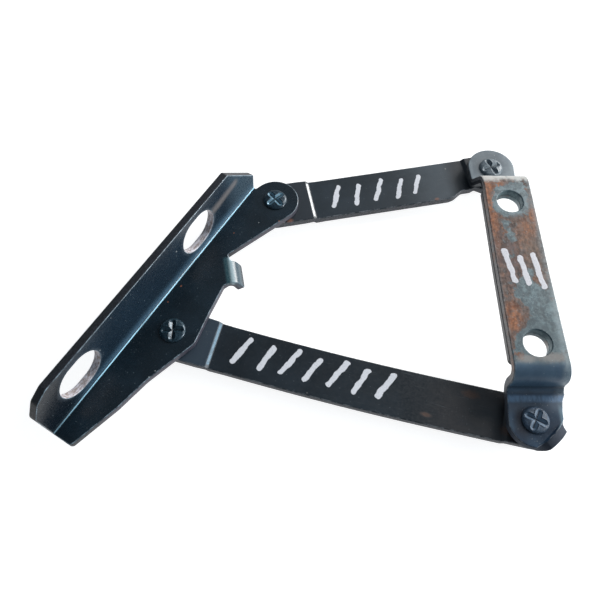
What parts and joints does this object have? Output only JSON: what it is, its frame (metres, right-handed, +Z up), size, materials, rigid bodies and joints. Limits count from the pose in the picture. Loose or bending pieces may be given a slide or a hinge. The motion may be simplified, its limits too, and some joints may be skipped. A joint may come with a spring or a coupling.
{
  "type": "vehicle bonnet hinge",
  "caption": "Riveted four-bar bonnet hinge: hat-shaped body bracket, two joggled links, and an L-section bonnet bracket with adjusting slots and a stop tab.",
  "frame": {"origin": "the middle of the body bracket's crown, on the face that bolts to the vehicle body, halfway between the two body pivots", "axes": "+Z up, +X to the rear of the vehicle along the line of the two body pivots, -Y out of the crown's mounting face; every pivot axis is parallel to Y"},
  "size_m": [0.1407, 0.0351, 0.1951],
  "materials": {
    "bonnet_paint": "dark blue-black gloss paint over pressed steel, fine dust, worn edges",
    "body_paint": "blue-grey satin paint, rubbed through to brown and orange rust on the crown",
    "link_paint": "dark blue-grey satin paint, dusty, scuffed at the bends",
    "rivet_paint": "dark gloss paint over staked rivet heads",
    "bare_steel": "dull zinc-plated steel",
    "bronze": "matte sintered bronze"
  },
  "bodies": {
    "body_side": {"body_bracket": "body_paint", "rivet_body_front": "rivet_paint", "rivet_body_rear": "rivet_paint", "thrust_washer_body_front": "bronze", "thrust_washer_body_rear": "bronze", "back_washer_body_front": "bare_steel", "back_washer_body_rear": "bare_steel"},
    "front_arm": {"front_link": "link_paint", "bush_body_front": "bronze", "bush_bonnet_front": "bronze"},
    "rear_arm": {"rear_link": "link_paint", "bush_body_rear": "bronze", "bush_bonnet_rear": "bronze", "rivet_bonnet_rear_tail": "rivet_paint", "back_washer_bonnet_rear": "bare_steel"},
    "bonnet_side": {"bonnet_bracket": "bonnet_paint", "rivet_bonnet_front": "rivet_paint", "rivet_bonnet_rear_head": "rivet_paint", "thrust_washer_bonnet_front": "bronze", "thrust_washer_bonnet_rear": "bronze", "back_washer_bonnet_front": "bare_steel"}
  },
  "joints": [
    {"name": "front_link_swing", "type": "hinge", "parent": "body_side", "child": "front_arm", "pos_m": [-0.0593, 0.01755, 0.0012], "axis": [0, 1, 0], "range_deg": [0, 56]},
    {"name": "rear_link_swing", "type": "hinge", "parent": "body_side", "child": "rear_arm", "pos_m": [0.0593, 0.01755, 0.0012], "axis": [0, 1, 0], "range_deg": [0, 75.58]},
    {"name": "bonnet_bracket_swing", "type": "hinge", "parent": "front_arm", "child": "bonnet_side", "pos_m": [-0.0239, 0.01755, 0.1403], "axis": [0, 1, 0], "range_deg": [-84.34, 0]}
  ],
  "couplings": [
    {"joint": "rear_link_swing", "follows": "front_link_swing", "ratio": 1.3478},
    {"joint": "bonnet_bracket_swing", "follows": "front_link_swing", "ratio": -1.5042}
  ]
}
